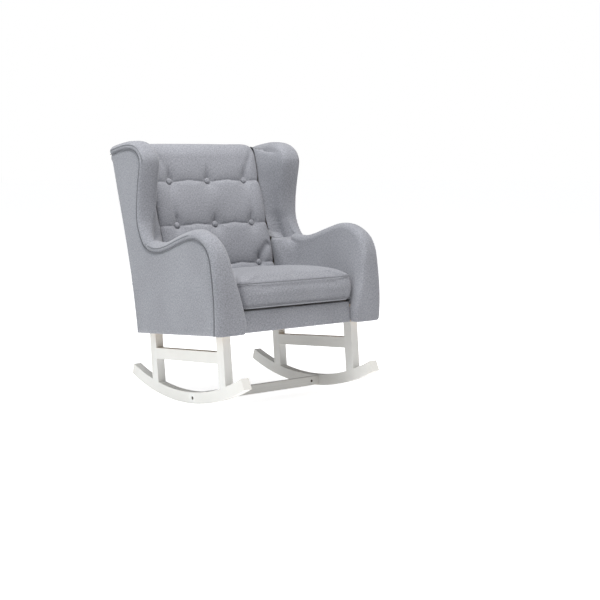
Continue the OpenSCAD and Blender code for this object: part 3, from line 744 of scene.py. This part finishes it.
def pulledIn(x, z):
    # how far behind the crest the cloth lies at (x, z) on the front
    p = backPad
    deep = np.zeros_like(x)
    spread = np.full_like(x, 9.0)
    for c in p["columns"]:
        spread = np.minimum(spread, np.abs(x - c))
    for row, zr in enumerate(p["rows"]):
        between = np.clip(((np.mod(x + 0.0875, 0.175) - 0.0875) / 0.0875) ** 2, 0, 1)
        past = (np.abs(x) - 0.175) / 0.075
        arch = p["arch"] * np.where(np.abs(x) < 0.175, between, 0.2 * past)
        dz = z - zr - arch
        near = np.exp(-(spread / 0.045) ** 2)
        amount = p["crease"] * (0.62 + 0.38 * near) * (1 - 0.35 * np.clip(past, 0, 1))
        # the lower panel's edge rolls sharply into the seam, the upper one slopes
        wide = np.where(dz < 0, p["creaseWide"] * 0.8, p["creaseWide"] * 1.7)
        deep = np.maximum(deep, amount * np.exp(-np.abs(dz / wide) ** 0.95)
                          + 0.0022 * np.exp(-(dz / 0.0022) ** 2))
        for c in p["columns"]:
            r = np.hypot(x - c, (z - zr) * 0.9)
            deep = np.maximum(deep, p["dimple"] * np.exp(-(r / p["dimpleWide"]) ** 1.25)
                              + 0.35 * amount * np.exp(-np.abs(dz / wide)))
            # short folds run up and a little down from each button
            reach = 0.075 if row == 0 else 0.05
            up = smoothStep(0.0, 0.012, z - zr) * (1 - smoothStep(0.02, reach, z - zr))
            drift = c * 0.10 * (z - zr)
            deep += p["pleat"] * up * np.exp(-((x - c - drift) / 0.0045) ** 2)
    for fold in p["folds"]:
        deep += foldDepth(x, z, *fold)
    return deep


def backPadMesh():
    p = backPad
    over = [(crest(0.655), 0.655), (crest(0.685) + 0.0005, 0.685), (0.3085, 0.708),
            (0.324, 0.7225), (0.346, 0.729), (0.370, 0.7255), (0.389, 0.712), (0.3975, 0.694),
            (0.3985, 0.676)]
    heights = np.linspace(p["foot"], 0.650, 180)
    line = np.vstack([np.stack([crest(heights), heights], axis=1), evenSpline(over, 46)])
    run = runAlong(line)
    even = np.linspace(0, run[-1], p["rowCount"])
    line = np.stack([np.interp(even, run, line[:, 0]), np.interp(even, run, line[:, 1])], axis=1)
    along = np.gradient(line, axis=0)
    along /= np.linalg.norm(along, axis=1)[:, None]
    inward = np.stack([along[:, 1], -along[:, 0]], axis=1)
    u = np.linspace(-1, 1, p["columnCount"])
    xs = p["half"] * np.sign(u) * (1 - (1 - np.abs(u)) ** 1.12)
    gridX, gridZ = np.meshgrid(xs, line[:, 1])
    deep = pulledIn(gridX, gridZ)
    deep *= 1 - smoothStep(0.69, 0.72, gridZ)
    deep *= (1 - smoothStep(0, 0.03, line[:, 0] - 0.31))[:, None]
    # a soft roll at each side, fuller between the rows
    away = np.min(np.abs(gridZ[..., None] - np.array(p["rows"])), axis=-1)
    edge = p["half"] - np.abs(gridX)
    deep = deep + 0.017 * np.exp(-(edge / 0.012) ** 1.1) * (1 - 0.25 * smoothStep(0, 0.06, away))
    deep = deep + 0.0018 * (unevenness(xs, line[:, 1], 9, 9, 5) + 0.5)
    shown = np.stack([gridX, line[:, 0:1] + inward[:, 0:1] * deep, line[:, 1:2] + inward[:, 1:2] * deep],
                     axis=-1)
    # the hidden rear, parallel to the front and well inside the pad
    hidden = np.stack([gridX, np.minimum(shown[..., 1] + 0.045, 0.386),
                       np.minimum(shown[..., 2], 0.700)], axis=-1)
    verts, faces = rimmedGrids(shown, hidden)
    return meshPiece("buttonedBack", verts, faces, slot="woven_fabric", replaces=["back_pad"])


backPadMesh()
print("stage: buttoned back")

# covered buttons
coveredButton = {
    "radius": 0.0124,
    "dome": 0.0050,
    "rise": 0.0030,           # how far it stands out of its dimple
    "sides": 32,
}


def buttonMesh():
    b = coveredButton
    sides = b["sides"]
    # share of the radius and height, from the dome's top outwards
    profile = [(0.25, b["dome"] * 0.96), (0.5, b["dome"] * 0.84), (0.75, b["dome"] * 0.58),
               (0.92, b["dome"] * 0.24), (1.0, -0.0008), (0.97, -0.0030), (0.75, -0.0045)]
    slant, level = math.sin(backPad["slope"]), math.cos(backPad["slope"])
    verts, faces = [], []
    for row, z in enumerate(backPad["rows"]):
        at = crest(z) + backPad["dimple"] - b["rise"] + 0.0005
        for column, x in enumerate(backPad["columns"]):
            start = len(verts)
            spin = 0.7 * row + 1.9 * column
            for share, high in profile:
                for k in range(sides):
                    a = 2 * math.pi * k / sides
                    r = b["radius"] * share * (1 + 0.012 * math.sin(5 * a + spin))
                    h = high + 0.0002 * math.sin(3 * a + spin)
                    dx, dz = r * math.cos(a), r * math.sin(a)
                    verts.append((x + dx, at + dz * slant - h * level, z + dz * level + h * slant))
            faces += [tuple(start + i for i in face) for face in loftFaces(len(profile), sides)]
    return meshPiece("coveredButtons", verts, faces, slot="woven_fabric", replaces=["back_buttons"])


buttonMesh()
print("stage: buttons")


# the cloth is blown out a little over its filling, then set
swelling = {
    "voxel": 0.005,
    "quality": 6,
    "mass": 0.35,
    "stretch": 22,
    "shear": 8,
    "bend": 0.6,
    "steps": 20,
}


def swell(piece, pressure, cap, hold):
    scene = bpy.context.scene
    bpy.context.view_layer.objects.active = piece
    remesh = piece.modifiers.new("evenMesh", "REMESH")
    remesh.mode = "VOXEL"
    remesh.voxel_size = swelling["voxel"]
    bpy.ops.object.modifier_apply(modifier=remesh.name)
    mesh = piece.data
    count = len(mesh.vertices)
    before = np.empty(count * 3, np.float32)
    mesh.vertices.foreach_get("co", before)
    before = before.reshape(-1, 3)
    modifier = piece.modifiers.new("swelling", "CLOTH")
    settings = modifier.settings
    settings.quality = swelling["quality"]
    settings.mass = swelling["mass"]
    settings.tension_stiffness = settings.compression_stiffness = swelling["stretch"]
    settings.shear_stiffness = swelling["shear"]
    settings.bending_stiffness = swelling["bend"]
    settings.use_pressure = True
    settings.uniform_pressure_force = pressure
    settings.effector_weights.gravity = 0
    group = piece.vertex_groups.new(name="held")
    back = seated.inverted()
    group.add([i for i, q in enumerate(before) if hold(back @ Vector(q))], 1.0, "REPLACE")
    settings.vertex_group_mass = group.name
    for step in range(1, swelling["steps"] + 1):
        scene.frame_set(step)
    shape = piece.evaluated_get(bpy.context.evaluated_depsgraph_get()).data
    after = np.empty(count * 3, np.float32)
    shape.vertices.foreach_get("co", after)
    move = after.reshape(-1, 3) - before
    far = np.linalg.norm(move, axis=1)
    move *= (np.minimum(far, cap) / np.maximum(far, 1e-9))[:, None]
    piece.modifiers.remove(modifier)
    scene.frame_set(1)
    mesh.vertices.foreach_set("co", (before + move).ravel())
    mesh.update()
    piece.vertex_groups.clear()


def grooved(piece, lines, depth, wide):
    # draws the cloth in along sewn lines given in the upright frame
    tree = KDTree(sum(len(q) for q in lines))
    for i, q in enumerate(np.vstack(lines)):
        tree.insert(seated @ Vector(q), i)
    tree.balance()
    mesh = piece.data
    moved = [v.co - v.normal * (depth * math.exp(-(tree.find(v.co)[2] / wide) ** 2))
             for v in mesh.vertices]
    for v, q in zip(mesh.vertices, moved):
        v.co = q
    mesh.update()


# seat cushion
seatCushion = {
    "half": 0.2525,
    "front": -0.2895,
    "back": 0.1790,
    "foot": 0.0820,
    "seam": 0.1710,           # top of the boxing
    "crown": 0.2190,
    "corner": 0.026,
    "pressure": 3.0,
    "cap": 0.006,             # furthest the cloth may swell
    "groove": 0.0022,         # how far its seams draw the cloth in
    "grooveWide": 0.0042,
    "around": 220,            # points round one ring
}


def cushionOutline(count, inset=0.0):
    # a rounded oblong, the rear corners a little tighter
    c = seatCushion
    half, front, back = c["half"] - inset, c["front"] + inset, c["back"] - inset
    r = max(c["corner"] - inset * 0.4, 0.008)
    small = r * 0.8
    corners = [(half - r, front + r, -90), (half - small, back - small, 0),
               (-half + small, back - small, 90), (-half + r, front + r, 180)]
    path = []
    for k, (x, y, turn) in enumerate(corners):
        rr = r if k in (0, 3) else small
        for a in np.linspace(0, 90, 14):
            b = math.radians(turn + a)
            path.append((x + rr * math.cos(b), y + rr * math.sin(b)))
    path.append(path[0])
    path = np.array(path)
    run = runAlong(path)
    at = np.linspace(0, run[-1], count, endpoint=False)
    return np.stack([np.interp(at, run, path[:, 0]), np.interp(at, run, path[:, 1])], axis=1)


def cushionMesh():
    c = seatCushion
    count = c["around"]
    middle = np.array([0, (c["front"] + c["back"]) / 2])
    rings = []
    # underside, lower seam, boxing, top seam, crown
    for share in (0.05, 0.25, 0.5, 0.75, 0.93):
        q = middle + (cushionOutline(count) - middle) * share
        rings.append(np.column_stack([q, np.full(count, c["foot"] - 0.001 + 0.004 * share ** 6)]))
    side = [(0.0035, 0.0), (0.0008, 0.004), (0.0, 0.012), (-0.003, 0.030), (-0.0042, 0.048),
            (-0.003, 0.066), (0.0, 0.080), (0.0010, 0.085)]
    for inset, up in side:
        q = cushionOutline(count, inset + 0.004)
        rings.append(np.column_stack([q, np.full(count, c["foot"] + up + 0.0035)]))
    for share in np.linspace(0.985, 0.04, 26):
        q = middle + (cushionOutline(count, 0.004) - middle) * share
        lift = (1 - share ** 2.6) ** 0.75
        high = c["seam"] + 0.003 + (c["crown"] - c["seam"]) * lift
        rings.append(np.column_stack([q, np.full(count, high)]))
    rings = np.array(rings)
    return meshPiece("seatCushion", rings, loftFaces(len(rings), count), body="seat_cushion",
                     slot="woven_fabric", replaces=["cushion_cover", "cushion_foam"])


cushion = cushionMesh()
c = seatCushion
swell(cushion, c["pressure"], c["cap"], hold=lambda q: q.z < c["foot"] + 0.002)
finer = cushion.modifiers.new("finer", "SUBSURF")
finer.levels = 1
bpy.context.view_layer.objects.active = cushion
bpy.ops.object.modifier_apply(modifier=finer.name)
seamLine = cushionOutline(700, 0.0045)
seams = {"cushionTopSeam": c["seam"] + 0.0015, "cushionLowSeam": c["foot"] + 0.0085}
seams = {name: np.column_stack([seamLine, np.full(700, z)]) for name, z in seams.items()}
grooved(cushion, list(seams.values()), c["groove"], c["grooveWide"])
cushion.data.shade_smooth()
for name, line in seams.items():
    sewnLine(name, np.vstack([line, line[:2]]), body="seat_cushion")
print("stage: seat cushion")

# front rail cover
railCover = {"half": 0.2412, "front": -0.2735, "rear": -0.2585, "foot": 0.0, "top": 0.0775}
slab = {
    "drawnIn": 0.0035,        # how far the ends roll in
    "over": 0.006,            # over this length
    "square": 7,              # higher is squarer in section
}


def roundedSlab(name, half, front, rear, foot, top, slot, replaces, puff=0.0):
    # a padded slab whose long edges roll over
    count, around = 120, 40
    cy, cz = (front + rear) / 2, (foot + top) / 2
    rings = []
    for x in half * np.sin(np.linspace(-math.pi / 2, math.pi / 2, count)):
        pull = slab["drawnIn"] * math.exp(-(half - abs(x)) / slab["over"])
        hy, hz = (rear - front) / 2 - pull, (top - foot) / 2 - pull
        section = []
        for k in range(around):
            a = 2 * math.pi * k / around
            ca, sa = math.cos(a), math.sin(a)
            out = (abs(ca) ** slab["square"] + abs(sa) ** slab["square"]) ** (-1 / slab["square"])
            y, z = cy + hy * ca * out, cz + hz * sa * out
            if ca < 0:
                y -= puff * (1 - ((z - cz) / hz) ** 2) * (1 - (x / half) ** 6)
            section.append((x, y, z))
        rings.append(section)
    return meshPiece(name, rings, loftFaces(len(rings), around), slot=slot, replaces=replaces)


railPiece = roundedSlab("frontRailCover", *railCover.values(), "woven_fabric", ["front_rail_cover"],
                        puff=0.0015)
print("stage: front rail cover")


# cloth on the rear, under the seat and on the deck


def uprightBox(node):
    back = seated.inverted()
    q = np.array([back @ v.co for v in frame["nodes"][node].data.vertices])
    return q.min(0), q.max(0)


rearCloth = {
    "behind": 0.0088,         # how far it stands behind the side panels' rear line
    "bulge": 0.0035,
    "roll": 0.0050,           # how far its edge turns in
    "rollWide": 0.007,
    "stitchIn": 0.0055,       # distance of the stitches from its edge
}


def rearPanel():
    r = rearCloth
    low, high = uprightBox("outside_back")
    half = high[0]
    us = half * np.sin(np.linspace(-math.pi / 2, math.pi / 2, 130))
    zs = low[2] + (high[2] - low[2]) * (0.5 - 0.5 * np.cos(np.linspace(0, math.pi, 150)))
    gridX, gridZ = np.meshgrid(us, zs)
    gap = np.minimum(half - np.abs(gridX), np.minimum(gridZ - low[2], high[2] - gridZ))
    middle = (1 - (gridX / half) ** 4) * np.clip(1 - ((gridZ - 0.35) / 0.36) ** 4, 0, 1)
    gridY = rearAt(gridZ) + r["behind"] - r["bulge"] * (1 - middle)
    gridY -= r["roll"] * np.exp(-(gap / r["rollWide"]) ** 1.2)
    gridY -= 0.0012 * (unevenness(us, zs, 5, 4, 8) + 0.5) * smoothStep(0, 0.05, gap)
    verts, faces = rimmedGrids(np.stack([gridX, gridY, gridZ], axis=-1),
                               np.stack([gridX, rearAt(gridZ) - 0.0005, gridZ], axis=-1))
    piece = meshPiece("rearPanel", verts, faces, slot="woven_fabric", replaces=["outside_back"])
    # stitched up one side, over the top and down the other
    side, foot, top = half - r["stitchIn"], low[2] + r["stitchIn"], high[2] - r["stitchIn"]
    edge = [(-side, z) for z in np.linspace(foot, top, 140)]
    edge += [(x, top) for x in np.linspace(-side, side, 120)[1:]]
    edge += [(side, z) for z in np.linspace(top, foot, 140)[1:]]
    line = [(x, float(rearAt(z)) + r["behind"] - r["bulge"] - r["roll"] * 0.38, z) for x, z in edge]
    sewnLine("rearPanelStitching", line)
    return piece


rearPanel()


def stretchedSheet(name, node, slot, sag):
    # a thin sheet held at its edges, dropping a little in the middle
    low, high = uprightBox(node)
    us, vs = np.linspace(low[0], high[0], 60), np.linspace(low[1], high[1], 60)
    gridX, gridY = np.meshgrid(us, vs)
    hx, hy = (high[0] - low[0]) / 2, (high[1] - low[1]) / 2
    cx, cy = (high[0] + low[0]) / 2, (high[1] + low[1]) / 2
    dip = (1 - ((gridX - cx) / hx) ** 2) * (1 - ((gridY - cy) / hy) ** 2)
    top = high[2] - sag * dip + 0.0006 * unevenness(us, vs, 14, 14, 2)
    thick = 0.0008
    verts, faces = rimmedGrids(np.stack([gridX, gridY, top], axis=-1),
                               np.stack([gridX, gridY, top - thick], axis=-1))
    piece = meshPiece(name, verts, faces, slot=slot, replaces=[node])


stretchedSheet("dustCover", "dust_cover", "dust_cloth", sag=0.0)
stretchedSheet("seatDeck", "seat_deck", "lining_cloth", sag=0.0025)
low, high = uprightBox("deck_felt")
felt = roundedSlab("deckFelt", high[0], low[1], high[1], low[2], high[2], "felt", ["deck_felt"])
print("stage: rear panel, dust cover, deck")

# zip across the cushion's rear: tape and coil teeth
zipTape = {
    "tooth": 0.0015,          # width of a tooth along the zip
    "pitch": 0.00186,
    "toothWide": 0.0042,
    "toothDeep": 0.0007,
    "offset": 0.0006,         # how far teeth of one side stand off the middle
}


def zipMesh():
    low, high = uprightBox("cushion_zip")
    verts, faces = [], []

    def bar(x0, x1, y0, y1, z0, z1):
        start = len(verts)
        verts.extend([(x, y, z) for x in (x0, x1) for y in (y0, y1) for z in (z0, z1)])
        for f in ((0, 1, 3, 2), (4, 6, 7, 5), (0, 4, 5, 1), (2, 3, 7, 6), (0, 2, 6, 4), (1, 5, 7, 3)):
            faces.append(tuple(start + i for i in f))
    middle = (low[2] + high[2]) / 2
    for z0, z1 in ((low[2], middle - 0.0002), (middle + 0.0002, high[2])):
        bar(low[0], high[0], low[1], high[1] - 0.0002, z0, z1)
    x = low[0] + 0.004
    flip = 1
    while x < high[0] - 0.004:
        at = middle + zipTape["offset"] * flip
        bar(x, x + zipTape["tooth"], high[1] - 0.0002, high[1] + zipTape["toothDeep"],
            at - zipTape["toothWide"] / 2, at + zipTape["toothWide"] / 2)
        x += zipTape["pitch"]
        flip = -flip
    meshPiece("zipTape", verts, faces, body="seat_cushion", slot="zip_tape", replaces=["cushion_zip"])


zipMesh()
print("stage: zip")


# finishes of the hidden frame, the hardware and the linings


def grainyWood(name, pale, dark, along, rings=38.0):
    finish, tree, shader = newFinish(name)
    place = stretchedPlace(tree, objectPlace(tree), along)
    bend = textured(tree, "Noise", place, in_Scale=1.5, in_Detail=4.0, in_Distortion=0.8)
    band = textured(tree, "Wave", place, in_Scale=rings, in_Distortion=5.0, in_Detail=3.0)
    grain = joined(tree, "MULTIPLY", bend, band)
    tree.links.new(blended(tree, grain, pale, dark), shader.inputs["Base Color"])
    bumped(tree, shader, grain, 0.2, 0.0005)
    shader.inputs["Roughness"].default_value = 0.68
    return finish


def brushedMetal(name, pale, dark, rough):
    finish, tree, shader = newFinish(name)
    spot = textured(tree, "Noise", objectPlace(tree), in_Scale=420.0, in_Detail=5.0, in_Roughness=0.65)
    tree.links.new(blended(tree, spot, dark, pale), shader.inputs["Base Color"])
    shine = ranged(tree, spot, toLow=rough - 0.1, toHigh=rough + 0.1)
    tree.links.new(shine, shader.inputs["Roughness"])
    shader.inputs["Metallic"].default_value = 1.0
    return finish


def plainWeave(name, dark, light, thread, rough=0.9):
    # a coarse plain weave for webbing, lining and the cloth under the seat
    finish, tree, shader = newFinish(name)
    place = objectPlace(tree)
    weave = crossedWaves(tree, place, thread, in_Distortion=0.8, in_Detail=2.0)
    fleck = textured(tree, "Noise", place, in_Scale=160.0, in_Detail=3.0)
    mixed = add(tree, "ShaderNodeMath", operation="MULTIPLY_ADD")
    mixed.inputs[1].default_value = 0.6
    tree.links.new(weave, mixed.inputs[0])
    tree.links.new(fleck, mixed.inputs[2])
    tree.links.new(blended(tree, mixed.outputs["Value"], dark, light), shader.inputs["Base Color"])
    bumped(tree, shader, weave, 0.4, 0.0004)
    shader.inputs["Roughness"].default_value = rough
    return finish


timber = grainyWood("bareTimber", (0.62, 0.44, 0.26), (0.36, 0.22, 0.11), (2, 14, 14))
plywood = grainyWood("plywood", (0.66, 0.50, 0.31), (0.46, 0.31, 0.17), (60, 3, 6), rings=12.0)
hardboard = grainyWood("hardboard", (0.33, 0.20, 0.11), (0.20, 0.115, 0.06), (120, 120, 120), rings=30.0)
zinc = brushedMetal("zincPlate", (0.72, 0.72, 0.70), (0.50, 0.50, 0.49), 0.36)
darkSteel = brushedMetal("darkSteel", (0.14, 0.105, 0.085), (0.055, 0.045, 0.040), 0.48)
springSteel = brushedMetal("springSteel", (0.42, 0.41, 0.40), (0.24, 0.235, 0.23), 0.42)
lining = plainWeave("liningCloth", (0.44, 0.42, 0.37), (0.63, 0.61, 0.55), 0.0010)
dustCloth = plainWeave("dustCloth", (0.018, 0.018, 0.020), (0.060, 0.060, 0.064), 0.0009)
strap = plainWeave("webbing", (0.10, 0.075, 0.05), (0.42, 0.33, 0.22), 0.0022)
feltFinish = plainWeave("felt", (0.34, 0.33, 0.32), (0.60, 0.59, 0.57), 0.0030, rough=0.98)
twineFinish = twistedThread("tuftingTwine", (0.55, 0.50, 0.40), (0.78, 0.73, 0.62))
tapeFinish = plainWeave("zipTapeCloth", (0.10, 0.103, 0.115), (0.22, 0.225, 0.245), 0.0007)

keptFinishes = {
    timber: ["front_seat_rail", "rear_seat_rail", "left_seat_rail", "right_seat_rail", "corner_blocks",
             "left_back_post", "right_back_post", "back_top_rail", "back_lower_rail", "left_arm_post",
             "right_arm_post", "left_arm_rail", "right_arm_rail"],
    plywood: ["left_side_board", "right_side_board"],
    hardboard: ["back_board"],
    zinc: ["spring_clips", "leg_bolts", "leg_washers", "tie_washers", "zip_slider"],
    darkSteel: ["stretcher_bolts", "barrel_nuts"],
    springSteel: ["seat_springs"],
    strap: ["back_webbing"],
    lining: ["back_lining"],
    twineFinish: ["tufting_ties"],
}


def dress(piece, finish):
    piece.data.materials.clear()
    piece.data.materials.append(finish)


def easeEdges(node, width, segments, angle):
    bevel = node.modifiers.new("easedEdges", "BEVEL")
    bevel.width = width
    bevel.segments = segments
    bevel.limit_method = "ANGLE"
    bevel.angle_limit = math.radians(angle)


for finish, names in keptFinishes.items():
    for name in names:
        dress(frame["nodes"][name], finish)
        if finish in (timber, plywood):
            easeEdges(frame["nodes"][name], 0.0008, 2, 40)
softFinishes = {"dustCover": dustCloth, "seatDeck": lining, "deckFelt": feltFinish, "zipTape": tapeFinish}
for name, finish in softFinishes.items():
    dress(bpy.data.objects[name], finish)

baseNodes = [side + part for side in ("left", "right")
             for part in ("_rocker", "_front_leg", "_rear_leg", "_side_rail")] + ["cross_stretcher"]
for name in baseNodes:
    dress(frame["nodes"][name], paintFinish)
    easeEdges(frame["nodes"][name], paint["bevel"], 3, 38)
for piece in list(bpy.context.scene.objects):
    if piece.type == "MESH" and piece.get("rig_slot") == "woven_fabric":
        weaveUvs(piece)
        dress(piece, fabricFinish)
# All sewn threads get a dark grey finish, darker than the cloth: painted shade that stands in for the
# shade in the seam grooves.
seamShadeThreadFinish = twistedThread("seamShadeThread", (0.115, 0.118, 0.130), (0.19, 0.195, 0.21))
for piece in threads:
    dress(piece, seamShadeThreadFinish)
floorFinish, floorTree, floorShader = newFinish("paleFloor")
floorShader.inputs["Base Color"].default_value = (0.86, 0.86, 0.86, 1)
floorShader.inputs["Roughness"].default_value = 0.7
floorShader.inputs["Emission Color"].default_value = (1, 1, 1, 1)
floorGlow = add(floorTree, "ShaderNodeMath", operation="MULTIPLY_ADD")
floorGlow.inputs[1].default_value = studio["floorLift"]
floorGlow.inputs[2].default_value = studio["floorGlow"]
floorTree.links.new(add(floorTree, "ShaderNodeLightPath").outputs["Is Camera Ray"], floorGlow.inputs[0])
floorTree.links.new(floorGlow.outputs[0], floorShader.inputs["Emission Strength"])
floor.data.materials.append(floorFinish)
print("stage: finishes")
